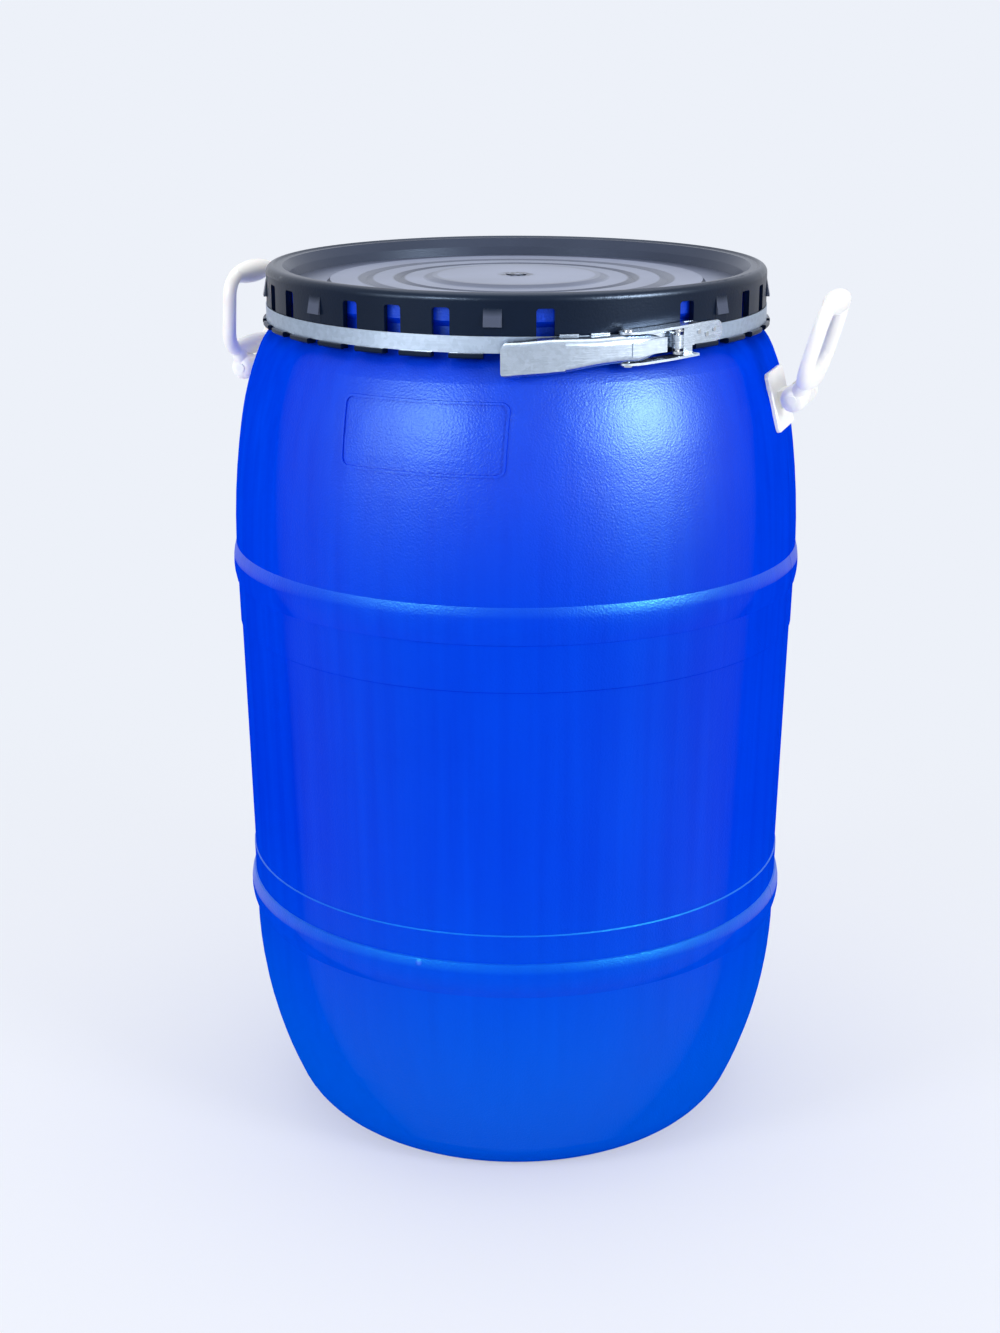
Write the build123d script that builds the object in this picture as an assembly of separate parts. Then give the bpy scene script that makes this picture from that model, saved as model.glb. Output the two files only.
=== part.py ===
from build123d import *
import math
import os

# A 60 litre open-head plastic drum: a blow-moulded body, a lid held down by a lever-lock ring,
# and two white drop handles.  Millimetres, +Z up, origin at the centre of the base.
# The handles stand on +X and -X, and the moulded label frame faces -Y.

# ---------------------------------------------------------------- driving dimensions: body
total_height = 616.0          # floor to the crest of the lid
hoop_radius = 200.0           # largest radius, over the upper rolling hoop
wall = 3.0                    # moulded wall
foot_inset = 58.0             # the ring that the drum stands on: its outer edge, in from the hoop
foot_width = 10.0
base_dome = 5.0               # how far the floor is raised inside the foot ring
heel_height = 23.5            # top of the tight curve above the foot
heel_inset = 35.0
belly_height = 68.6
belly_inset = 19.1
lower_hoop_height = 166.0     # centre of the lower rolling hoop
lower_hoop_proud = 3.3
upper_hoop_height = 412.3     # centre of the upper rolling hoop
upper_hoop_proud = 2.3
hoop_half_width = 12.6
hoop_ledge = 1.1              # crisp step on the side of each hoop that faces the panel
wall_taper = 5.3              # the wall widens by this from the lower to the upper hoop
panel_inset = 0.8             # the panel between the hoops lies this far back
panel_margin_low = 32.1       # from the lower hoop to the lower edge of that panel
panel_margin_high = 43.6      # from the upper edge of that panel to the upper hoop
shoulder_low = 101.0          # below the top: the wall has turned in here
shoulder_low_drop = 7.6       # and by this much
shoulder_mid = 55.0
shoulder_mid_inset = 23.3
shoulder_top = 41.5
shoulder_top_inset = 34.0
neck_inset = 38.0
neck_start = 35.0             # below the top
mouth_inset = 34.0            # outer edge of the mouth's bead, in from the hoop
mouth_bead_width = 8.0
mouth_bead_height = 11.0
mouth_below_crest = 9.0       # the mouth's face lies this far under the lid's crest
mouth_edge = 1.0              # bevel of the mouth's outer edge

# ---------------------------------------------------------------- label frame
label_width = 110.0
label_height = 45.0
label_corner = 6.0
label_rib = 1.6
label_proud = 1.1
label_top_below_crest = 65.0

# ---------------------------------------------------------------- lid
lid_wall = 3.0
skirt_play = 1.2              # radial, between the mouth's bead and the skirt's bore
skirt_wall = 4.0
band_seat_play = 0.3          # between the band and the lid
rim_round = 5.0               # rounding of the lid's outer shoulder
rim_bevel = 1.5               # from the flat rim up to the crest
rim_drop = 1.0                # the flat rim lies this far under the crest
rim_width = 11.2              # skirt to the inner edge of the rim
well_depth = 13.0             # crest to the floor of the lid's well
well_inset = 12.5             # well's floor edge, in from the mouth's bead
well_curve = 0.8
plateau_inset = 23.5          # in from the well's floor edge
plateau_rise = 2.2
rings = ((80.5, 7.0), (103.5, 10.0))  # concentric grooves in the panel: radius and width
ring_depth = 1.5
hub_radius = 64.0
hub_slope = 6.0
hub_rise = 1.8
gate_radius = 7.0
gate_rise = 0.6
plug_clearance = 0.6          # radial, between the lid's plug and the mouth
plug_depth = 22.0             # plug below the crest
plug_bevel = 1.5
channel_inset = 2.7           # middle of the gasket's channel, in from the mouth's bead
channel_width = 4.6
channel_depth = 4.0
channel_mouth = 1.0           # the channel's open end stands this far over the mouth
gasket_play = 0.3             # all round the gasket in its channel
window_count = 33             # places round the skirt
window_width = 11.5
window_corner = 2.0
window_top = 9.3              # below the crest
window_phase = -76.3          # degrees, the place in front
tab_places = (-7, -4, 0, 5, 8, 12, 15, 19, 22)
blank_places = (2, 3)
tab_proud = 2.2               # at the flap's lower edge
tab_height = 11.0
tab_overlap = 1.0             # the flap's body runs this far into the shutter below it
lip_overhang = 2.4            # finger lips beyond the band
lip_height = 3.4
lip_bevel = 1.0

# ---------------------------------------------------------------- clamping ring and lever
band_play = 0.3               # radial, between the band and the lid's seat
band_thickness = 1.0
band_height = 10.3
band_top_below_crest = 26.2
band_proud = 0.6              # band beyond the lid's skirt
pivot_angle = -37.3           # lever pivot on band end B
link_angle = -48.8            # rivets that join lever and draw bracket
pin_standoff = 6.7            # from the band to the circle on which both lie
band_end_a = -31.8
band_end_b = -35.9
pin_radius = 2.0
running_fit = 0.05            # radial, every hinge pin in its hole
knuckle_radius = 4.2
knuckle_half_height = 4.2
plate_gauge = 1.5             # lever and bracket sheet
ear_gap = 0.2
ear_radius = 4.2
ear_overlap = 1.0             # degrees by which an ear runs into the lever's channel
lever_stations = (            # degrees from the pivot, half height and drop of the lever's section
    (3.6, 5.9, 0.9),
    (5.6, 6.1, 1.1),
    (7.6, 7.2, 1.7),
    (9.6, 8.3, 2.7),
    (11.6, 8.4, 2.7),
    (13.8, 8.4, 2.7),
    (16.2, 8.5, 3.1),
    (18.9, 8.8, 3.7),
    (21.9, 9.6, 4.4),
    (24.9, 10.4, 5.1),
    (27.9, 10.9, 5.8),
    (31.0, 10.9, 6.5),
    (34.0, 10.9, 7.2),
    (37.1, 10.9, 7.9),
)
pivot_drop = 0.9              # the pivot sits this far under the band's middle
link_drop = 2.7               # and the rivets this far: the latch droops towards the grip
ridge_half_height = 4.6       # pressed ridge along the pivot's end of the lever
ridge_end = 5
pad_half_height = 8.6         # pressed pad of the grip
pad_start = 9
press_proud = 0.7
waist_half_height = 8.4
grip_corner = 5.0
grip_corner_play = 0.4
lever_standoff = 14.2         # lever's outer face beyond the band
lever_edge_gap = 3.2          # lever's edges beyond the band
lever_bend = 5.0
bracket_half_gap = 8.8        # inside half height between the bracket's flanges
flange_half_width = 5.7
flange_end_angle = -32.4
flange_lap = 0.5
base_start_angle = -34.8
joggle_angle = 0.6
base_lift = 0.2               # bracket base over the lips
tail_lift = 0.1               # bracket tail over the band
tail_end_angle = -22.0
tail_half_height = 6.6
tail_raise = 1.5
rivet_radius = 2.0
rivet_head_radius = 3.2
rivet_head = 1.2
tail_spot_places = ((-29.8, 2.4), (-27.4, 0.2), (-25.0, 2.6))  # degrees and height over the band's middle
spot_radius = 1.6
spot_head = 0.6
washer_radius = 4.0
washer_gauge = 0.8
strap_inset = 0.3             # the strap's edges, in from the band's
strap_end_angle = -62.0
guide_lugs = (-60.6, -54.0)
guide_lug_width = 12.0
guide_lug_height = 6.4

# ---------------------------------------------------------------- drop handles
plate_width = 46.0
plate_height = 40.0
plate_thickness = 3.0
plate_corner = 4.0
plate_bevel = 0.8
plate_below_crest = 84.0      # plate centre under the lid's crest
seat_depth = 1.8              # moulded pocket under the plate, below the wall at its middle
seat_play = 0.5               # pocket round the plate
seat_backing = 3.0            # thickness of the wall behind the pocket
hinge_standoff = 13.4         # hinge axis from the wall
hinge_pin_radius = 2.5
hinge_boss_radius = 8.7
hinge_boss_round = 5.5
centre_knuckle_radius = 5.8
centre_knuckle_width = 20.0
knuckle_gap = 0.3
boss_width = 15.0
hinge_pin_head = 0.8
hinge_pin_head_radius = 3.0
leg_spacing = 72.0            # between leg centres
leg_radius = 4.8
bar_sink = 0.4                # the thickened bars start this far inside the ring
lower_bar_radius = 7.0
grip_radius = 8.0
ring_corner = 14.0
bar_share = 0.6               # share of the corner that a thickened bar leaves free
lower_bar_rise = 13.4         # above the hinge axis
grip_rise = 66.0
ring_offset = 4.0             # the ring stands this far outside the hinge axis
arm_radius = 5.2
arm_shift = 1.0
right_lean = 16.0             # degrees outward at rest
left_lean = -3.0

# ---------------------------------------------------------------- heights and radii worked out
foot_radius = hoop_radius - foot_inset
heel_radius = hoop_radius - heel_inset
belly_radius = hoop_radius - belly_inset
shoulder_mid_radius = hoop_radius - shoulder_mid_inset
shoulder_top_radius = hoop_radius - shoulder_top_inset
neck_radius = hoop_radius - neck_inset
mouth_bead_radius = hoop_radius - mouth_inset
mouth_bore_radius = mouth_bead_radius - mouth_bead_width
skirt_bore_radius = mouth_bead_radius + skirt_play
skirt_radius = skirt_bore_radius + skirt_wall
band_radius = skirt_radius + band_proud
lip_radius = band_radius + lip_overhang
pin_circle = band_radius + pin_standoff
lever_web_radius = band_radius + lever_standoff
lever_edge_radius = band_radius + lever_edge_gap
wall_radius_high = hoop_radius - upper_hoop_proud
wall_radius_low = wall_radius_high - wall_taper
taper = wall_taper / (upper_hoop_height - lower_hoop_height)
mouth_height = total_height - mouth_below_crest
bead_start = mouth_height - mouth_bead_height
panel_low = lower_hoop_height + panel_margin_low
panel_high = upper_hoop_height - panel_margin_high
channel_top = mouth_height + channel_depth
channel_inner_radius = mouth_bead_radius - channel_inset - channel_width / 2
channel_outer_radius = channel_inner_radius + channel_width
lever_end_angle, grip_half_height, grip_drop = lever_stations[-1]
band_top = total_height - band_top_below_crest
band_bottom = band_top - band_height
band_middle = band_bottom + band_height / 2
plate_centre_height = total_height - plate_below_crest
hoop_low = lower_hoop_height - hoop_half_width
hoop_low_end = lower_hoop_height + hoop_half_width
hoop_high = upper_hoop_height - hoop_half_width
hoop_high_end = upper_hoop_height + hoop_half_width


def straight_wall(height):
    """Outer radius of the tapered wall, without hoops, at a height."""
    return wall_radius_low + (height - lower_hoop_height) * taper


def wall_curves():
    """The tangent arcs of the outside: belly, heel and foot going down, then shoulder and neck going up."""
    hoop_foot = (straight_wall(hoop_low), hoop_low)
    belly = TangentArc(hoop_foot, (belly_radius, belly_height), tangent=(0, -1))
    heel = TangentArc(belly @ 1, (heel_radius, heel_height), tangent=belly % 1)
    foot = TangentArc(heel @ 1, (foot_radius, 0), tangent=heel % 1)
    start = (straight_wall(hoop_high_end), hoop_high_end)
    low_end = (start[0] - shoulder_low_drop, total_height - shoulder_low)
    low = TangentArc(start, low_end, tangent=(0, 1))
    middle = TangentArc(low @ 1, (shoulder_mid_radius, total_height - shoulder_mid), tangent=low % 1)
    top = TangentArc(middle @ 1, (shoulder_top_radius, total_height - shoulder_top), tangent=middle % 1)
    neck = TangentArc(top @ 1, (neck_radius, total_height - neck_start), tangent=top % 1)
    return [belly, heel, foot], [low, middle, top, neck]


def moved_in(curve, distance, side):
    """An arc moved towards the axis, square to itself; side is 1 for arcs going up, -1 going down."""
    points = []
    for share in (0, 0.5, 1):
        heading = curve % share
        points.append(curve @ share + Vector(-heading.Y, heading.X) * side * distance)
    return ThreePointArc(*points)


def hoops_and_panel(inset):
    """Line of the tapered wall with both rolling hoops and the set-back panel between them."""
    def at(height, proud=0.0):
        return (straight_wall(height) + proud - inset, height)

    low_edge = at(hoop_low_end - hoop_ledge / 2, hoop_ledge)
    high_edge = at(hoop_high + hoop_ledge / 2, hoop_ledge)
    low_hoop = ThreePointArc(at(hoop_low), at(lower_hoop_height, lower_hoop_proud), low_edge)
    panel = Polyline(
        low_edge,
        at(hoop_low_end),
        at(panel_low),
        at(panel_low + panel_inset, -panel_inset),
        at(panel_high - panel_inset, -panel_inset),
        at(panel_high),
        at(hoop_high),
        high_edge,
    )
    high_hoop = ThreePointArc(high_edge, at(upper_hoop_height, upper_hoop_proud), at(hoop_high_end))
    return [low_hoop, panel, high_hoop]


def body_outline():
    """Half section of the drum's outside, from the axis out, up and back to the axis."""
    down, up = wall_curves()
    foot_in = foot_radius - foot_width
    floor = Polyline((0, base_dome), (foot_in - base_dome, base_dome), (foot_in, 0), (foot_radius, 0))
    slope = (mouth_bead_radius - neck_radius) / 2
    mouth = Polyline(
        up[-1] @ 1,
        (neck_radius, bead_start - slope),
        (mouth_bead_radius, bead_start + slope),
        (mouth_bead_radius, mouth_height - mouth_edge),
        (mouth_bead_radius - mouth_edge, mouth_height),
        (0, mouth_height),
        (0, base_dome),
    )
    return Plane.XZ * make_face([floor, *down, *hoops_and_panel(0), *up, mouth])


def radius_at(height):
    """Outer radius of the drum's wall at a height, taken from its section."""
    probe = Plane.XZ * Pos(hoop_radius / 2, height) * Rectangle(hoop_radius * 1.2, 0.02)
    return (body_outline() & probe).bounding_box().max.X


def cavity_outline():
    """Half section of the space inside: the outside moved in by the wall, with the mouth's bore."""
    down, up = wall_curves()
    lower = [moved_in(curve, wall, -1) for curve in down]
    upper = [moved_in(curve, wall, 1) for curve in up[:3]]
    foot_in = foot_radius - foot_width
    shift = wall * math.tan(math.radians(22.5))
    floor = Polyline(
        lower[2] @ 1,
        (foot_in + shift, wall),
        (foot_in + shift - base_dome, base_dome + wall),
        (0, base_dome + wall),
        (0, mouth_height),
        (mouth_bore_radius, mouth_height),
        (mouth_bore_radius, total_height - neck_start),
        upper[2] @ 1,
    )
    return Plane.XZ * make_face([floor, *lower, *hoops_and_panel(wall), *upper])


def wall_slope():
    """Degrees by which the wall leans in where a handle's plate sits."""
    span = plate_height / 2
    lower = radius_at(plate_centre_height - span)
    upper = radius_at(plate_centre_height + span)
    return math.degrees(math.atan2(lower - upper, 2 * span))


def on_handle_seat(piece, side):
    """Place a piece, drawn with +X out of the wall, on the handle seat of a side (+1 or -1)."""
    seat = Pos(radius_at(plate_centre_height), 0, plate_centre_height) * Rot(0, -wall_slope(), 0)
    return Rot(0, 0, 0 if side > 0 else 180) * seat * piece


def handle_seat_block(depth, margin):
    """Block with its outer or inner face on the floor of the handle's pocket; depth counts outwards."""
    block = Box(abs(depth), plate_width + 2 * margin, plate_height + 2 * margin)
    block = fillet(block.edges().filter_by(Axis.X), plate_corner + margin)
    return Pos(depth / 2 - seat_depth, 0, 0) * block


def label_frame():
    """Raised outline of the label field, following the curved wall."""
    skin = Rot(0, 0, 180) * revolve(Pos(label_proud, 0, 0) * body_outline(), Axis.Z, 180)
    field = RectangleRounded(label_width, label_height, label_corner)
    inside = (label_width - 2 * label_rib, label_height - 2 * label_rib)
    field -= RectangleRounded(*inside, label_corner - label_rib)
    middle = total_height - label_top_below_crest - label_height / 2
    prism = Pos(0, 0, middle) * extrude(Plane.XZ * field, hoop_radius)
    inner = radius_at(middle) - label_height
    return (prism & skin) - Pos(0, 0, middle) * Cylinder(inner, 2 * label_height)


def drum_body():
    outside = revolve(body_outline(), Axis.Z)
    shell = outside + label_frame() - revolve(cavity_outline(), Axis.Z)
    for side in (1, -1):
        shell += outside & on_handle_seat(handle_seat_block(-seat_backing, seat_backing), side)
        shell -= on_handle_seat(handle_seat_block(2 * hinge_standoff, seat_play), side)
    return shell


# ---------------------------------------------------------------- lid
def lid_section():
    """Half section of the lid without windows."""
    crest = total_height
    rim = crest - rim_drop
    rim_inner = skirt_radius - rim_width
    well = crest - well_depth
    well_radius = mouth_bead_radius - well_inset
    plateau = well + plateau_rise
    plateau_radius = well_radius - plateau_inset
    hub = plateau + hub_rise
    gate = hub + gate_rise
    under_well = well - lid_wall
    plug_radius = mouth_bore_radius - plug_clearance
    plug_bottom = crest - plug_depth
    lip_top = band_bottom
    lip_bottom = lip_top - lip_height
    seat_radius = band_radius - band_thickness - band_play
    skirt_step = band_top + band_seat_play
    channel_mouth_height = mouth_height + channel_mouth
    crest_start = skirt_radius - rim_round
    upper = [(0, gate), (gate_radius, gate), (gate_radius, hub)]
    upper += [(hub_radius - hub_slope, hub), (hub_radius, plateau)]
    for radius, width in rings:
        half = width / 2
        upper += [(radius - half, plateau), (radius, plateau - ring_depth), (radius + half, plateau)]
    upper += [
        (plateau_radius - plateau_rise, plateau),
        (plateau_radius, well),
        (well_radius, well),
        ((well_radius + rim_inner) / 2 - well_curve, (well + rim) / 2),
        (rim_inner, rim),
        (crest_start - rim_bevel, rim),
        (crest_start, crest),
    ]
    turn = rim_round * math.sin(math.radians(45))
    shoulder = ThreePointArc(
        (crest_start, crest),
        (crest_start + turn, crest - rim_round + turn),
        (skirt_radius, crest - rim_round),
    )
    lower = [
        (skirt_radius, crest - rim_round),
        (skirt_radius, skirt_step),
        (seat_radius, skirt_step),
        (seat_radius, lip_top),
        (lip_radius - lip_bevel / 2, lip_top),
        (lip_radius, lip_top - lip_bevel / 2),
        (lip_radius, lip_bottom + lip_bevel),
        (lip_radius - lip_bevel, lip_bottom),
        (skirt_bore_radius, lip_bottom),
        (skirt_bore_radius, channel_mouth_height),
        (channel_outer_radius, channel_mouth_height),
        (channel_outer_radius, channel_top),
        (channel_inner_radius, channel_top),
        (channel_inner_radius, channel_mouth_height),
        (plug_radius, channel_mouth_height),
        (plug_radius, plug_bottom + 2 * plug_bevel),
        (plug_radius - plug_bevel, plug_bottom),
        (plug_radius - lid_wall, plug_bottom),
        (plug_radius - lid_wall, under_well),
        (plateau_radius - lid_wall, under_well),
        (plateau_radius - lid_wall - plateau_rise, under_well + plateau_rise),
        (hub_radius - lid_wall, under_well + plateau_rise),
        (hub_radius - lid_wall - hub_slope, under_well + plateau_rise + hub_rise),
        (0, under_well + plateau_rise + hub_rise),
        (0, gate),
    ]
    return Plane.XZ * make_face([Polyline(*upper), shoulder, Polyline(*lower)])


def place_angle(place):
    """Degrees round the lid of one of its numbered places."""
    return window_phase + place * 360 / window_count


def lid():
    body = revolve(lid_section(), Axis.Z)
    lip_bottom = band_bottom - lip_height
    top = total_height - window_top
    below = lip_bottom - window_corner
    slot = Box(3 * skirt_wall, window_width, top - below)
    slot = fillet(slot.faces().sort_by(Axis.Z)[-1].edges().filter_by(Axis.X), window_corner)
    slot = Pos(skirt_bore_radius + skirt_wall, 0, (top + below) / 2) * slot
    flap = Polyline(
        (skirt_bore_radius, top),
        (skirt_radius, top),
        (skirt_radius + tab_proud, top - tab_height),
        (skirt_bore_radius, top - tab_height),
        close=True,
    )
    tab = extrude(Plane.XZ * make_face(flap), window_width / 2, both=True)
    skirt_middle = (skirt_bore_radius + skirt_radius) / 2
    shutter_height = top - tab_height - band_top - band_seat_play + tab_overlap
    shutter = Box(skirt_wall, window_width, shutter_height)
    tab += Pos(skirt_middle, 0, top - tab_height + tab_overlap - shutter_height / 2) * shutter
    places = [place for place in range(window_count) if place not in blank_places]
    body -= [Rot(0, 0, place_angle(place)) * slot for place in places]
    body += [Rot(0, 0, place_angle(place)) * tab for place in tab_places]
    return body


def lid_gasket():
    width = channel_width - 2 * gasket_play
    height = channel_depth - 2 * gasket_play
    middle = (channel_inner_radius + channel_width / 2, mouth_height + channel_depth / 2)
    section = Plane.XZ * Pos(*middle) * RectangleRounded(width, height, min(width, height) / 3)
    return revolve(section, Axis.Z)


# ---------------------------------------------------------------- clamping ring and lever
def sector(section, start, end):
    """Sweep a half section round the drum's axis from one angle to another, in degrees."""
    first, last = min(start, end), max(start, end)
    return Rot(0, 0, first) * revolve(section, Axis.Z, last - first)


def strip(inner, outer, low, high):
    """Half section of a strip between two radii and two heights about the band's middle."""
    place = Pos((inner + outer) / 2, band_middle + (low + high) / 2)
    return Plane.XZ * place * Rectangle(outer - inner, high - low)


def on_pin_circle(angle, height=0.0):
    """Place on the circle of the latch pins, at a height over the band's middle."""
    return Rot(0, 0, angle) * Pos(pin_circle, 0, band_middle + height)


def clamp_band():
    half = band_height / 2
    section = strip(band_radius - band_thickness, band_radius, -half, half)
    return sector(section, band_end_a, band_end_b + 360)


def band_end_hinge():
    """Strap on band end B with the knuckle for the lever and two guide lugs."""
    strap_outer = band_radius + plate_gauge
    strap_half = band_height / 2 - strap_inset
    hinge = sector(strip(band_radius, strap_outer, -strap_half, strap_half), strap_end_angle, band_end_b)
    web_length = pin_circle - strap_outer + plate_gauge / 2
    web = Pos(-web_length / 2, 0, 0) * Box(web_length, 2 * plate_gauge, 2 * knuckle_half_height)
    knuckle = Cylinder(knuckle_radius, 2 * knuckle_half_height) + web
    hinge += on_pin_circle(pivot_angle, -pivot_drop) * knuckle
    hinge -= on_pin_circle(pivot_angle) * Cylinder(pin_radius + running_fit, 4 * knuckle_half_height)
    half_lug = math.degrees(guide_lug_width / 2 / band_radius)
    for lug in guide_lugs:
        upstand = strip(band_radius, strap_outer, 0, guide_lug_height)
        hinge += sector(upstand, lug - half_lug, lug + half_lug)
    return hinge


def lever_channel(angle, half_height, drop):
    """Section of the lever: a channel, open towards the drum, with rounded outer bends."""
    width = lever_web_radius - lever_edge_radius
    middle = Pos((lever_web_radius + lever_edge_radius) / 2, -drop)
    outer = middle * Rectangle(width, 2 * half_height)
    outer = fillet(outer.vertices().group_by(Axis.X)[-1], lever_bend)
    inner = middle * Pos(-plate_gauge, 0) * Rectangle(width, 2 * (half_height - plate_gauge))
    inner = fillet(inner.vertices().group_by(Axis.X)[-1], lever_bend - plate_gauge)
    face = (Plane.XZ * Pos(0, band_middle) * (outer - inner)).faces()[0]
    return Rot(0, 0, pivot_angle - angle) * face


def pressed(stations, half_height):
    """Raised pressing on the outer face of the lever, along some of its stations."""
    first, last = lever_web_radius - plate_gauge / 2, lever_web_radius + press_proud
    faces = []
    for angle, _, drop in stations:
        face = strip(first, last, -drop - half_height, half_height - drop)
        faces.append(Rot(0, 0, pivot_angle - angle) * face)
    return loft(faces)


def lever():
    """Stamped closing lever: two ears on the pivot, a waist between the bracket's flanges, a wide grip."""
    ear_low = knuckle_half_height + ear_gap
    ear_half = ear_low + plate_gauge
    body = loft([lever_channel(*station) for station in lever_stations])
    body += pressed(lever_stations[:ridge_end], ridge_half_height)
    body += pressed(lever_stations[pad_start:], pad_half_height)
    ear_run = sector(
        strip(pin_circle - ear_radius, pin_circle + ear_radius, ear_low, ear_half),
        pivot_angle - lever_stations[0][0] - ear_overlap,
        pivot_angle,
    )
    ear = ear_run + on_pin_circle(pivot_angle, (ear_low + ear_half) / 2) * Cylinder(ear_radius, plate_gauge)
    body += Pos(0, 0, -pivot_drop) * (ear + mirror(ear, Plane.XY.offset(band_middle)))
    body -= on_pin_circle(pivot_angle) * Cylinder(pin_radius + running_fit, 4 * ear_half)
    body -= on_pin_circle(link_angle) * Cylinder(rivet_radius, 4 * waist_half_height)
    return body & grip_end()


def grip_end():
    """Everything up to the rounded tip of the lever's grip."""
    reach = 2 * math.radians(lever_end_angle) * lever_web_radius
    depth = 4 * grip_half_height
    tip = Box(depth, reach, 2 * (grip_half_height + grip_corner_play))
    tip = fillet(tip.edges().filter_by(Axis.X).group_by(Axis.Y)[0], grip_corner)
    rest = Pos(0, 1.5 * grip_corner, 0) * Box(depth, reach, 3 * depth)
    place = Rot(0, 0, pivot_angle - lever_end_angle) * Pos(pin_circle, reach / 2, band_middle - grip_drop)
    return place * (tip + rest)


def lever_pivot_pin():
    """Pin riveted over at both ends, through the knuckle, the lever's ears and two washers."""
    half = knuckle_half_height + ear_gap + plate_gauge + ear_gap + washer_gauge
    pin = Cylinder(pin_radius, 2 * half)
    for side in (1, -1):
        head = Pos(0, 0, side * (half + rivet_head / 2)) * Cylinder(rivet_head_radius, rivet_head)
        pin += head
    return on_pin_circle(pivot_angle, -pivot_drop) * pin


def pivot_washers():
    ring = Cylinder(washer_radius, washer_gauge) - Cylinder(pin_radius + running_fit, 2 * washer_gauge)
    height = knuckle_half_height + ear_gap + plate_gauge + ear_gap + washer_gauge / 2
    return [on_pin_circle(pivot_angle, side * height - pivot_drop) * ring for side in (1, -1)]


def bracket_flange(low, high):
    """One flange of the bracket, level at the rivets and tilted up from there to the base."""
    inner = pin_circle - flange_half_width
    outer = pin_circle + flange_half_width
    level = link_angle + math.degrees(flange_half_width / pin_circle)
    tilt = math.degrees(math.asin(link_drop / pin_circle / math.sin(math.radians(flange_end_angle - level))))
    arm = sector(strip(inner, outer, low, high), level - flange_lap, flange_end_angle - flange_lap)
    middle = Pos(0, 0, band_middle + (low + high) / 2) * Rot(0, 0, flange_end_angle)
    arm = middle * Rot(tilt, 0, 0) * middle.inverse() * arm
    eye = on_pin_circle(link_angle, (low + high) / 2 - link_drop) * Cylinder(flange_half_width, high - low)
    return sector(strip(inner, outer, low - link_drop, high - link_drop), link_angle, level) + eye + arm


def draw_bracket():
    """U-shaped bracket: two flanges outside the lever, a base, and a rounded tail lying on band end A."""
    low = bracket_half_gap
    high = bracket_half_gap + plate_gauge
    bracket = bracket_flange(low, high) + bracket_flange(-high, -low)
    base_inner = lip_radius + base_lift
    base_outer = base_inner + plate_gauge
    tail_inner = band_radius + tail_lift
    tail_outer = tail_inner + plate_gauge
    tail_low = tail_raise - tail_half_height
    tail_high = tail_raise + tail_half_height
    bracket += sector(strip(base_inner, base_outer, -high, high), base_start_angle, flange_end_angle)
    joggle_end = flange_end_angle + joggle_angle
    bracket += sector(strip(tail_inner, base_outer, tail_low, tail_high), flange_end_angle, joggle_end)
    tail_centre = tail_end_angle - math.degrees(tail_half_height / tail_outer)
    tail = sector(strip(tail_inner, tail_outer, tail_low, tail_high), flange_end_angle, tail_centre)
    disc = extrude(Plane.YZ * Circle(tail_half_height), lip_radius)
    disc = Rot(0, 0, tail_centre) * Pos(0, 0, band_middle + tail_raise) * disc
    ring = sector(strip(tail_inner, tail_outer, tail_low, tail_high), tail_centre, tail_end_angle)
    bracket += tail + (disc & ring)
    bracket -= on_pin_circle(link_angle) * Cylinder(rivet_radius + running_fit, 4 * high)
    return bracket - tail_spots()


def tail_spots():
    """The three spot rivets of the tail."""
    length = plate_gauge + spot_head
    spots = []
    for angle, height in tail_spot_places:
        place = Pos(band_radius + tail_lift + length / 2, 0, band_middle + height)
        spots.append(Rot(0, 0, angle) * place * Rot(0, 90, 0) * Cylinder(spot_radius, length))
    return spots


def link_rivets():
    """Two rivets that hang the draw bracket on the lever."""
    shank_low = waist_half_height - plate_gauge - running_fit
    shank_high = bracket_half_gap + plate_gauge + running_fit
    length = shank_high - shank_low
    rivet = Pos(0, 0, shank_low + length / 2) * Cylinder(rivet_radius, length)
    rivet += Pos(0, 0, shank_high + rivet_head / 2) * Cylinder(rivet_head_radius, rivet_head)
    rivet += Pos(0, 0, shank_low - rivet_head / 2) * Cylinder(rivet_head_radius, rivet_head)
    rivets = []
    for turn in (0, 180):
        rivets.append(on_pin_circle(link_angle, -link_drop) * Rot(turn, 0, 0) * rivet)
    return rivets


# ---------------------------------------------------------------- drop handles
def handle_plate():
    """Plate on the floor of its pocket, with the centre knuckle of the hinge."""
    plate = Box(plate_thickness, plate_width, plate_height)
    plate = fillet(plate.edges().filter_by(Axis.X), plate_corner)
    plate = chamfer(plate.faces().sort_by(Axis.X)[-1].edges(), plate_bevel)
    plate = Pos(plate_thickness / 2 - seat_depth, 0, 0) * plate
    block = Box(hinge_standoff, centre_knuckle_width, 2 * centre_knuckle_radius)
    barrel = Rot(90, 0, 0) * Cylinder(centre_knuckle_radius, centre_knuckle_width)
    bore = Rot(90, 0, 0) * Cylinder(hinge_pin_radius + running_fit, 2 * centre_knuckle_width)
    knuckle = Pos(hinge_standoff / 2, 0, 0) * block + Pos(hinge_standoff, 0, 0) * barrel
    return plate + knuckle - Pos(hinge_standoff, 0, 0) * bore


def upright(piece):
    """Stand a piece drawn about the hinge axis upright on the tilted seat."""
    return Pos(hinge_standoff, 0, 0) * Rot(0, wall_slope(), 0) * piece


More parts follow.
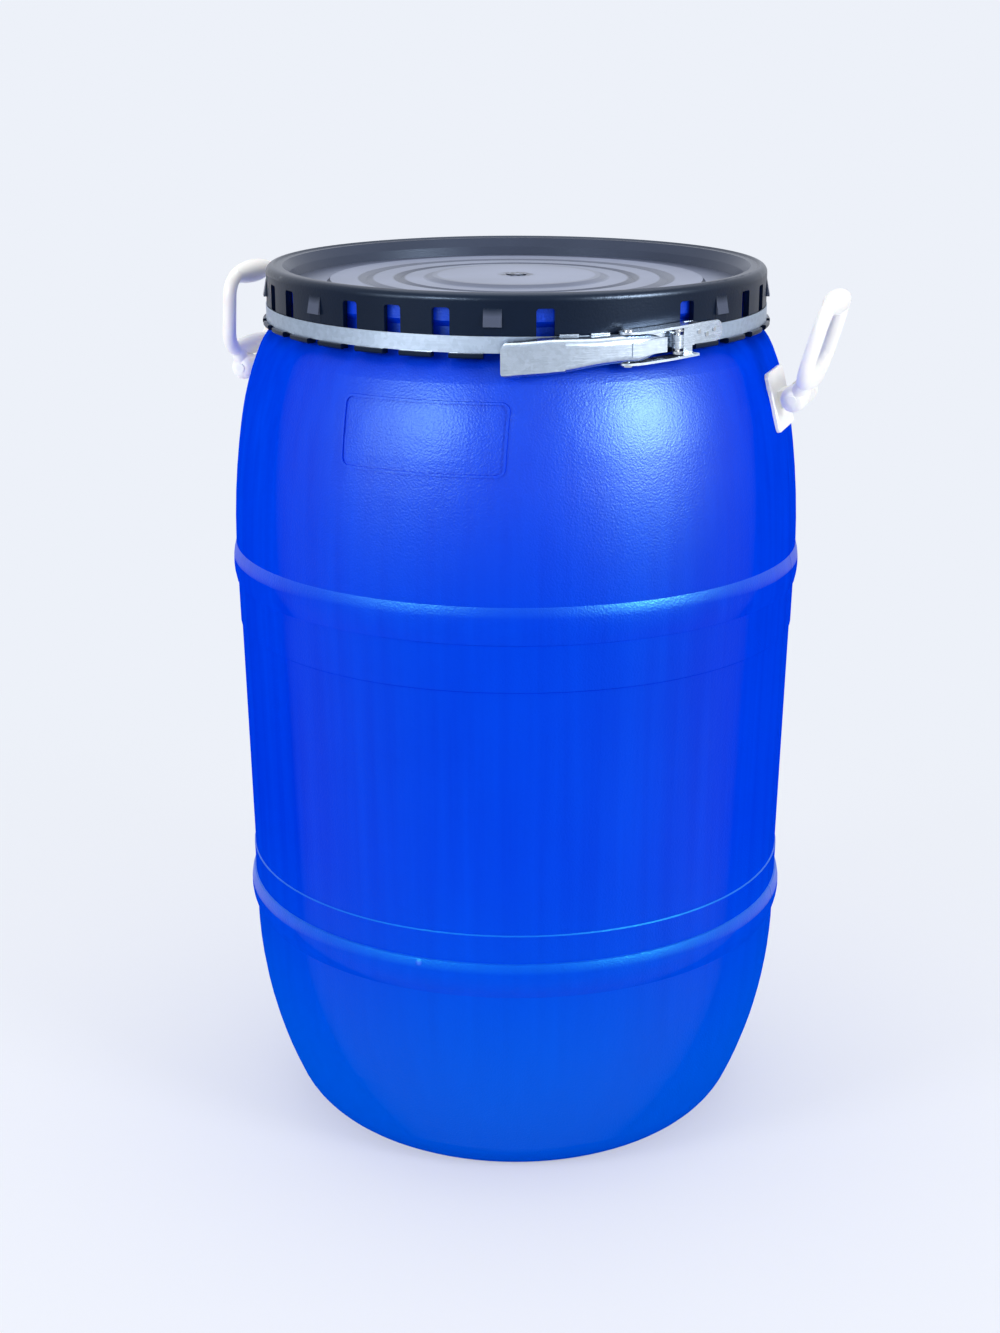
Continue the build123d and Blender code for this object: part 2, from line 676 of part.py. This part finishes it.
def handle_ring():
    """Closed ring of the handle, upright, drawn about the hinge axis."""
    height = grip_rise - lower_bar_rise
    middle = (grip_rise + lower_bar_rise) / 2
    path = Plane.YZ * Pos(0, middle) * RectangleRounded(leg_spacing, height, ring_corner)
    path = Pos(ring_offset, 0, 0) * path.wire()
    ring = sweep(Plane(path @ 0, z_dir=path % 0) * Circle(leg_radius), path=path)
    for rise, radius in ((grip_rise, grip_radius), (lower_bar_rise, lower_bar_radius)):
        half = leg_spacing / 2 - ring_corner * bar_share
        with BuildSketch(Plane.XY) as bulge:
            with BuildLine():
                start = leg_radius - bar_sink
                crown = ThreePointArc((start, -half), (radius, 0), (start, half))
                Polyline(crown @ 1, (0, half), (0, -half), crown @ 0)
            make_face()
        ring += Pos(ring_offset, 0, rise) * revolve(bulge.sketch, Axis.Y)
    return ring


def handle_grip():
    """Handle moulding: two hinge bosses, two short arms and the ring."""
    piece = handle_ring()
    inner = centre_knuckle_width / 2 + knuckle_gap
    for side in (1, -1):
        boss = Rot(90, 0, 0) * Cylinder(hinge_boss_radius, boss_width)
        boss = fillet(boss.edges().group_by(Axis.Y)[-1], hinge_boss_round)
        boss = Pos(0, inner + boss_width / 2, 0) * boss
        foot = (0, inner + boss_width - arm_radius - arm_shift, 0)
        head = (ring_offset, inner + boss_width - arm_radius / 2, lower_bar_rise)
        spine = Line(foot, head)
        arm = sweep(Plane(spine @ 0, z_dir=spine % 0) * Circle(arm_radius), path=spine)
        half = boss + arm
        piece += half if side > 0 else mirror(half, Plane.XZ)
    bore = Rot(90, 0, 0) * Cylinder(hinge_pin_radius + running_fit, leg_spacing)
    return piece - bore


def hinge_pin():
    length = centre_knuckle_width + 2 * (knuckle_gap + boss_width)
    pin = Cylinder(hinge_pin_radius, length)
    head = Cylinder(hinge_pin_head_radius, hinge_pin_head)
    for side in (1, -1):
        pin += Pos(0, 0, side * (length + hinge_pin_head) / 2) * head
    return Rot(90, 0, 0) * pin


def build():
    """All pieces by node name."""
    pieces = {
        "drum_body": drum_body(),
        "lid": lid(),
        "lid_gasket": lid_gasket(),
        "clamp_band": clamp_band(),
        "band_end_hinge": band_end_hinge(),
        "lever": lever(),
        "lever_pivot_pin": lever_pivot_pin(),
        "pivot_washers": pivot_washers(),
        "draw_bracket": draw_bracket(),
        "link_rivets": link_rivets(),
        "tail_spot_rivets": tail_spots(),
    }
    for name, side, lean in (("right", 1, right_lean), ("left", -1, left_lean)):
        pieces[name + "_handle_plate"] = on_handle_seat(handle_plate(), side)
        pieces[name + "_handle"] = on_handle_seat(upright(Rot(0, lean, 0) * handle_grip()), side)
        pieces[name + "_hinge_pin"] = on_handle_seat(upright(hinge_pin()), side)
    return pieces


os.makedirs("parts", exist_ok=True)
for node, shape in build().items():
    solids = shape if isinstance(shape, list) else [shape]
    whole = Compound(children=[solid for piece in solids for solid in piece.solids()])
    export_step(whole, "parts/" + node + ".step")
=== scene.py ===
import math

import bmesh
import bpy
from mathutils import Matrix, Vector

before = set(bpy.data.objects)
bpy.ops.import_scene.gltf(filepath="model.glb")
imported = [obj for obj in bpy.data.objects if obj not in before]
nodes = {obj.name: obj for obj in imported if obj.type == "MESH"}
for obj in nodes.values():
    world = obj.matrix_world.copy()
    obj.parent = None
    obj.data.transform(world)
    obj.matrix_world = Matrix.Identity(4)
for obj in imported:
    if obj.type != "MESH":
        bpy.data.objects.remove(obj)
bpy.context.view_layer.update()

# ---------------------------------------------------------------- named values, in metres
CAMERA_AZIMUTH = math.radians(19.0)
CAMERA_DISTANCE = 1.4447
CAMERA_HEIGHT = 0.7815
CAMERA_SHIFT = 0.0112           # the camera stands this far left of the drum's axis
CAMERA_PITCH = math.radians(17.57)
LENS = 56.17                    # millimetres, on a sensor 36 wide

# pairs are where an effect starts and where it is full, as heights on the drum or radii on the lid
FLOOR_LIGHT_HEIGHTS = (0.26, 0.02)       # painted light from the floor: the blue turns greener downwards
SHOULDER = (0.4, 0.5)           # painted sheen: the shine grows stronger and paler upwards
HOOPS_END = (0.436, 0.428)      # over this there are no more hoops
PARTING_LINE = (0.0009, 0.0002)  # distance from the plane through the handles
WELL = (0.158, 0.126)           # the painted reflection grows stronger towards the panel
DISHED_SIDE = (0.164, 0.16)
FLAP_FACE = (0.1713, 0.1722)    # just outside the skirt
FLAP_FOOT = 0.592               # the flaps lie over this height
GATE = (0.014, 0.009)           # wear round the moulding gate
PANEL_RADIUS = 0.128            # the lid's ringed panel ends here
GROOVES = ((0.0585, 0.0035, 0.66), (0.0805, 0.0035, 0.5), (0.1035, 0.0045, 0.5))  # radius, half width, grey
GROOVE_EDGE = 0.0015

WORLD_LIGHT = 0.62
FLOOR_RADIUS = 6.0
FLOOR_FADE = (0.1, 1.1)         # the floor fades into the background over this distance

# name, place (right, front and up as the camera sees it), height aimed at, width, height, watts, gloss alone
LIGHTS = (
    ("right_softbox", (1.7, 1.5, 1.25), 0.45, 0.7, 0.8, 20.0, False),
    ("left_softbox", (-1.9, 1.4, 1.15), 0.4, 0.7, 0.8, 20.0, False),
    ("overhead", (0.0, -0.4, 2.4), 0.3, 2.0, 1.6, 16.0, False),
    ("right_card", (1.85, 1.35, 1.3), 0.5, 0.95, 0.65, 150.0, True),
    ("left_card", (-1.3, 1.9, 1.35), 0.5, 0.5, 0.4, 45.0, True),
)


# ---------------------------------------------------------------- node helpers
class Nodes:
    """A node tree with short ways to add nodes; a value can be a number, a colour or a socket."""

    def __init__(self, tree):
        self.tree = tree

    def feed(self, node, inputs):
        for key, value in inputs.items():
            if isinstance(value, bpy.types.NodeSocket):
                self.tree.links.new(value, node.inputs[key])
            else:
                node.inputs[key].default_value = value

    def add(self, kind, inputs=None, **settings):
        node = self.tree.nodes.new(kind)
        for key, value in settings.items():
            setattr(node, key, value)
        self.feed(node, inputs or {})
        return node

    def place(self):
        return self.add("ShaderNodeTexCoord").outputs["Object"]

    def axis(self, vector, name):
        return self.add("ShaderNodeSeparateXYZ", {"Vector": vector}).outputs[name]

    def upward(self):
        """How far the surface faces up, from -1 to 1."""
        return self.axis(self.add("ShaderNodeNewGeometry").outputs["Normal"], "Z")

    def maths(self, operation, first, second=0.0, clamp=False):
        inputs = {0: first, 1: second}
        return self.add("ShaderNodeMath", inputs, operation=operation, use_clamp=clamp).outputs[0]

    def length(self, vector):
        return self.add("ShaderNodeVectorMath", {0: vector}, operation="LENGTH").outputs["Value"]

    def scaled(self, vector, factors):
        return self.add("ShaderNodeMapping", {"Vector": vector, "Scale": factors}).outputs["Vector"]

    def remap(self, value, start=0.0, end=1.0, low=0.0, high=1.0, smooth=False):
        inputs = {"Value": value, "From Min": start, "From Max": end, "To Min": low, "To Max": high}
        kind = "SMOOTHSTEP" if smooth else "LINEAR"
        return self.add("ShaderNodeMapRange", inputs, interpolation_type=kind).outputs[0]

    def noise(self, where, scale, detail):
        inputs = {"Vector": where, "Scale": scale, "Detail": detail}
        return self.add("ShaderNodeTexNoise", inputs).outputs["Fac"]

    def cells(self, where, scale):
        return self.add("ShaderNodeTexVoronoi", {"Vector": where, "Scale": scale}).outputs

    def red(self, colour):
        return self.add("ShaderNodeSeparateColor", {"Color": colour}).outputs[0]

    def mix(self, share, first, second, blend="MIX"):
        inputs = {0: share, 6: first, 7: second}
        return self.add("ShaderNodeMix", inputs, data_type="RGBA", blend_type=blend).outputs[2]

    def grade(self, value, low, high):
        """A colour between two."""
        ramp = self.add("ShaderNodeValToRGB", {"Fac": value})
        ramp.color_ramp.elements[0].color = low
        ramp.color_ramp.elements[1].color = high
        return ramp.outputs["Color"]

    def greys(self, value, stops):
        """A grey from a row of stops, each a place and a grey."""
        ramp = self.add("ShaderNodeValToRGB", {"Fac": value})
        elements = ramp.color_ramp.elements
        while len(elements) < len(stops):
            elements.new(0.5)
        for element, (place, grey) in zip(elements, stops):
            element.position = place
            element.color = (grey, grey, grey, 1.0)
        return ramp.outputs["Color"]

    def bump(self, height, strength, depth, under=None):
        """The normal of a bump, over another bump's normal."""
        inputs = {"Height": height, "Strength": strength, "Distance": depth}
        if under is not None:
            inputs["Normal"] = under
        return self.add("ShaderNodeBump", inputs).outputs["Normal"]

    def blend(self, share, first, second, output):
        """Mix two shaders into the surface of an output."""
        mixed = self.add("ShaderNodeMixShader", {"Fac": share, 1: first.outputs[0], 2: second.outputs[0]})
        self.feed(self.tree.nodes[output], {"Surface": mixed.outputs[0]})


def new_material(name):
    """A node material, its shader and its tree."""
    material = bpy.data.materials.new(name)
    material.use_nodes = True
    tree = Nodes(material.node_tree)
    return material, tree.tree.nodes["Principled BSDF"], tree


def linear(red, green, blue):
    """Linear colour from display values of 0 to 255."""
    def one(value):
        value /= 255.0
        return value / 12.92 if value <= 0.04045 else ((value + 0.055) / 1.055) ** 2.4

    return (one(red), one(green), one(blue), 1.0)


# ---------------------------------------------------------------- materials
def drum_blue():
    """Blow-moulded blue: orange peel, soft lumps, drawn streaks, a few pimples and the parting line, with
    painted light from the floor low down, a painted sheen and painted hoop highlights.
    """
    material, shader, tree = new_material("drum_blue")
    where = tree.place()
    height = tree.axis(where, "Z")
    cloud = tree.noise(where, 4.0, 3.0)
    streak = tree.noise(tree.scaled(where, (85.0, 85.0, 1.1)), 1.0, 5.0)
    share = tree.remap(tree.maths("ADD", cloud, streak), 0.7, 1.3)
    paint = tree.grade(share, (0.0, 0.031, 0.64, 1.0), (0.0, 0.049, 0.74, 1.0))
    spots = tree.cells(where, 13.0)
    picked = tree.maths("GREATER_THAN", tree.red(spots["Color"]), 0.82)
    pimples = tree.maths("MULTIPLY", tree.remap(spots["Distance"], 0.04, 0.012, smooth=True), picked)
    # painted light from the pale floor: the base colour turns greener low down
    painted_floor_light = tree.maths("MULTIPLY", tree.remap(height, *FLOOR_LIGHT_HEIGHTS, smooth=True), 0.8)
    paint = tree.mix(painted_floor_light, paint, (0.0, 0.105, 0.66, 1.0))
    paint = tree.mix(pimples, paint, (0.05, 0.14, 0.9, 1.0))

    # painted sheen: the shine is weakened towards the edges and is duller below the shoulder
    edge = tree.add("ShaderNodeLayerWeight", {"Blend": 0.5}).outputs["Facing"]
    painted_sheen_height = tree.remap(height, *SHOULDER)
    shine = tree.maths("MULTIPLY", tree.remap(edge, 0.16, 0.5, 0.42, 0.0), tree.remap(painted_sheen_height, low=0.45))
    # painted highlight: extra shine on the up-facing hoop flanks, all the way round
    flank = tree.remap(tree.upward(), 0.08, 0.45, high=1.5)
    painted_hoop_glint = tree.maths("MULTIPLY", flank, tree.remap(height, *HOOPS_END))
    shine = tree.maths("MAXIMUM", shine, painted_hoop_glint)

    parting = tree.remap(tree.maths("ABSOLUTE", tree.axis(where, "Y")), *PARTING_LINE)
    normal = tree.bump(streak, 0.12, 0.0007)
    normal = tree.bump(parting, 0.6, 0.0006, normal)
    normal = tree.bump(pimples, 0.7, 0.0008, normal)
    normal = tree.bump(tree.noise(where, 760.0, 1.0), 0.32, 0.0006, normal)
    normal = tree.bump(tree.noise(where, 34.0, 2.0), 0.15, 0.002, normal)
    tree.feed(shader, {
        "Base Color": paint,
        "Roughness": tree.remap(cloud, 0.3, 0.7, 0.34, 0.42),
        "IOR": 1.5,
        "Specular IOR Level": shine,
        "Specular Tint": tree.mix(painted_sheen_height, (0.05, 0.8, 1.0, 1.0), (0.42, 0.82, 1.0, 1.0)),
        "Normal": normal,
    })
    return material


def lid_black():
    """Injection-moulded black: fine grain, and a thin pale painted reflection on what faces up inside the
    rim.
    """
    material, shader, tree = new_material("lid_black")
    where = tree.place()
    upward = tree.upward()
    cloud = tree.noise(where, 14.0, 4.0)
    flat = tree.add("ShaderNodeVectorMath", {0: where, 1: (1.0, 1.0, 0.0)}, operation="MULTIPLY")
    reach = tree.length(flat.outputs[0])
    painted_sheen = tree.maths("MULTIPLY", tree.remap(upward, 0.75, 1.0), tree.remap(reach, *WELL, low=0.12))
    # painted reflection: the dished side keeps a thinner share of it
    painted_sheen = tree.maths("MAXIMUM", painted_sheen, tree.maths("MULTIPLY", tree.remap(reach, *DISHED_SIDE), 0.17))
    painted_sheen_and_wear = tree.maths("MULTIPLY", painted_sheen, tree.remap(cloud, 0.3, 0.7, 0.75, 1.0))

    # painted shade: the painted reflection is thinner in the panel's grooves, so they show darker
    stops = []
    for radius, half, grey in GROOVES:
        outer = half + GROOVE_EDGE
        for offset, value in ((-outer, 1.0), (-half, grey), (half, grey), (outer, 1.0)):
            stops.append(((radius + offset) / PANEL_RADIUS, value))
    painted_sheen_and_wear = tree.maths("MULTIPLY", painted_sheen_and_wear, tree.greys(tree.remap(reach, end=PANEL_RADIUS), stops))

    # painted highlight: the flaps on the skirt are paler where they stand out
    over = tree.maths("GREATER_THAN", tree.axis(where, "Z"), FLAP_FOOT)
    painted_flap_light = tree.maths("MULTIPLY", tree.remap(reach, *FLAP_FACE), over)
    painted_sheen_and_wear = tree.maths("MAXIMUM", painted_sheen_and_wear, tree.maths("MULTIPLY", painted_flap_light, 0.27))

    # dark, broken-up ring of wear round the moulding gate in the middle
    broken = tree.remap(tree.noise(where, 260.0, 2.0), 0.42, 0.5)
    worn = tree.maths("MULTIPLY", tree.remap(reach, *GATE), broken)
    painted_sheen_and_wear = tree.maths("SUBTRACT", painted_sheen_and_wear, worn, clamp=True)
    black = tree.grade(cloud, linear(5, 14, 30), linear(10, 23, 45))
    tree.feed(shader, {
        "Base Color": tree.mix(painted_sheen_and_wear, black, linear(138, 147, 174)),
        "Roughness": 0.3,
        # painted sheen: what faces up shines more
        "Specular IOR Level": tree.remap(upward, 0.1, 0.7, 0.19, 0.36),
        "Specular Tint": (0.56, 0.74, 1.0, 1.0),
        "Normal": tree.bump(tree.noise(where, 700.0, 2.0), 0.2, 0.0004),
    })
    return material


def galvanised(name, tint, roughness):
    """Zinc-coated steel: a faint fine spangle, drawn along the sheet, with small dents and a painted
    reflection.
    """
    material, shader, tree = new_material(name)
    where = tree.place()
    brushed = tree.noise(tree.scaled(where, (60.0, 60.0, 2400.0)), 1.0, 4.0)
    spangle = tree.maths("ADD", tree.red(tree.cells(where, 420.0)["Color"]), brushed)
    zinc_and_painted_room = tree.grade(tree.remap(spangle, 0.4, 1.5), linear(*[c - 15 for c in tint]), linear(*tint))
    # painted reflection: the colour is darkened as the sheet would mirror a room with a darker band above
    # the horizon and a duller floor
    mirrored = tree.axis(tree.add("ShaderNodeTexCoord").outputs["Reflection"], "Z")
    painted_room = ((0.0, 0.66), (0.42, 0.9), (0.52, 0.7), (0.6, 0.56), (0.68, 1.0), (1.0, 0.84))
    zinc_and_painted_room = tree.mix(1.0, zinc_and_painted_room, tree.greys(tree.remap(mirrored, -1.0, 1.0), painted_room), "MULTIPLY")
    dents = tree.bump(tree.noise(where, 120.0, 3.0), 0.08, 0.0005)
    tree.feed(shader, {
        "Base Color": zinc_and_painted_room,
        "Metallic": 1.0,
        "Roughness": tree.remap(brushed, low=roughness - 0.05, high=roughness + 0.07),
        "Normal": tree.bump(brushed, 0.15, 0.0002, dents),
    })
    return material


def handle_white():
    """White moulded plastic with a fine grain."""
    material, shader, tree = new_material("handle_white")
    where = tree.place()
    tree.feed(shader, {
        "Base Color": tree.grade(tree.noise(where, 30.0, 3.0), linear(246, 245, 240), linear(253, 252, 248)),
        "Roughness": 0.38,
        "Subsurface Weight": 0.1,
        "Subsurface Scale": 0.004,
        "Normal": tree.bump(tree.noise(where, 500.0, 2.0), 0.15, 0.0004),
    })
    return material


def gasket_rubber():
    """Dark foamed rubber with open cells."""
    material, shader, tree = new_material("gasket_rubber")
    cells = tree.cells(tree.place(), 900.0)["Distance"]
    dark = tree.grade(cells, linear(28, 28, 30), linear(52, 52, 54))
    tree.feed(shader, {"Base Color": dark, "Roughness": 0.8})
    return material


def dress(names, material):
    """Give the CAD nodes of these names a material."""
    for name in names:
        mesh = nodes[name].data
        mesh.materials.clear()
        mesh.materials.append(material)


# ---------------------------------------------------------------- camera, stage and light
BACKGROUND = linear(237, 241, 249)


def from_camera(right, front, up):
    """A place given to the camera's right of the drum, towards the camera, and up."""
    turn = CAMERA_AZIMUTH
    return (
        right * math.cos(turn) + front * math.sin(turn),
        right * math.sin(turn) - front * math.cos(turn),
        up,
    )


def make_camera():
    data = bpy.data.cameras.new("camera")
    data.lens = LENS
    data.sensor_width = 36.0
    data.clip_start = 0.05
    data.clip_end = 30.0
    camera = bpy.data.objects.new("camera", data)
    bpy.context.scene.collection.objects.link(camera)
    camera.location = from_camera(-CAMERA_SHIFT, CAMERA_DISTANCE, CAMERA_HEIGHT)
    camera.rotation_mode = "XYZ"
    camera.rotation_euler = (math.pi / 2 - CAMERA_PITCH, 0.0, CAMERA_AZIMUTH)
    bpy.context.scene.camera = camera


def sheet_material():
    """Pale sheet under the drum: it takes the shadow, and fades into the background further out."""
    material, shader, tree = new_material("pale_sheet")
    tree.feed(shader, {"Base Color": linear(244, 246, 250), "Roughness": 1.0, "Specular IOR Level": 0.0})
    fade = tree.remap(tree.length(tree.place()), *FLOOR_FADE, low=0.5, smooth=True)
    from_eye = tree.add("ShaderNodeLightPath").outputs["Is Camera Ray"]
    glow = tree.add("ShaderNodeEmission", {"Color": BACKGROUND, "Strength": 1.0})
    tree.blend(tree.maths("MULTIPLY", fade, from_eye), shader, glow, "Material Output")
    return material


def make_stage():
    sheet = bmesh.new()
    bmesh.ops.create_circle(sheet, cap_ends=True, radius=FLOOR_RADIUS, segments=96)
    mesh = bpy.data.meshes.new("floor")
    sheet.to_mesh(mesh)
    sheet.free()
    floor = bpy.data.objects.new("floor", mesh)
    bpy.context.scene.collection.objects.link(floor)
    mesh.materials.append(sheet_material())


def make_world():
    """Soft light all round, and a plain background for the camera, in gloss and through clear parts."""
    world = bpy.data.worlds.new("studio")
    bpy.context.scene.world = world
    world.use_nodes = True
    tree = Nodes(world.node_tree)
    light = tree.tree.nodes["Background"]
    tree.feed(light, {"Color": linear(248, 249, 253), "Strength": WORLD_LIGHT})
    seen = tree.add("ShaderNodeBackground", {"Color": BACKGROUND, "Strength": 1.0})
    path = tree.add("ShaderNodeLightPath").outputs
    shown = tree.maths("MAXIMUM", path["Is Camera Ray"], path["Is Glossy Ray"])
    shown = tree.maths("MAXIMUM", shown, path["Is Transmission Ray"])
    tree.blend(shown, light, seen, "World Output")


def area_light(name, place, aim, width, height, watts, gloss_alone):
    """A rectangular light; one for gloss alone shows in reflections and lights nothing else."""
    data = bpy.data.lights.new(name, "AREA")
    data.shape = "RECTANGLE"
    data.size = width
    data.size_y = height
    data.energy = watts
    light = bpy.data.objects.new(name, data)
    light.location = place
    light.rotation_mode = "QUATERNION"
    light.rotation_quaternion = (Vector((0, 0, aim)) - Vector(place)).to_track_quat("-Z", "Y")
    light.visible_diffuse = not gloss_alone
    bpy.context.scene.collection.objects.link(light)


# ---------------------------------------------------------------- the work
make_camera()
make_world()
make_stage()
for light_name, light_place, *rest in LIGHTS:
    area_light(light_name, from_camera(*light_place), *rest)

dress(["drum_body"], drum_blue())
dress(["lid"], lid_black())
dress(["lid_gasket"], gasket_rubber())
dress(["clamp_band"], galvanised("galvanised_band", (187, 204, 224), 0.3))
dress(["lever"], galvanised("galvanised_lever", (204, 218, 234), 0.24))
dress(["draw_bracket", "band_end_hinge"], galvanised("galvanised_fitting", (208, 221, 236), 0.26))
dress(
    ["lever_pivot_pin", "pivot_washers", "link_rivets", "tail_spot_rivets"],
    galvanised("bright_steel", (214, 220, 226), 0.2),
)
dress(
    [side + part for side in ("right_", "left_") for part in ("handle_plate", "handle", "hinge_pin")],
    handle_white(),
)

bpy.context.scene.view_settings.view_transform = "Standard"
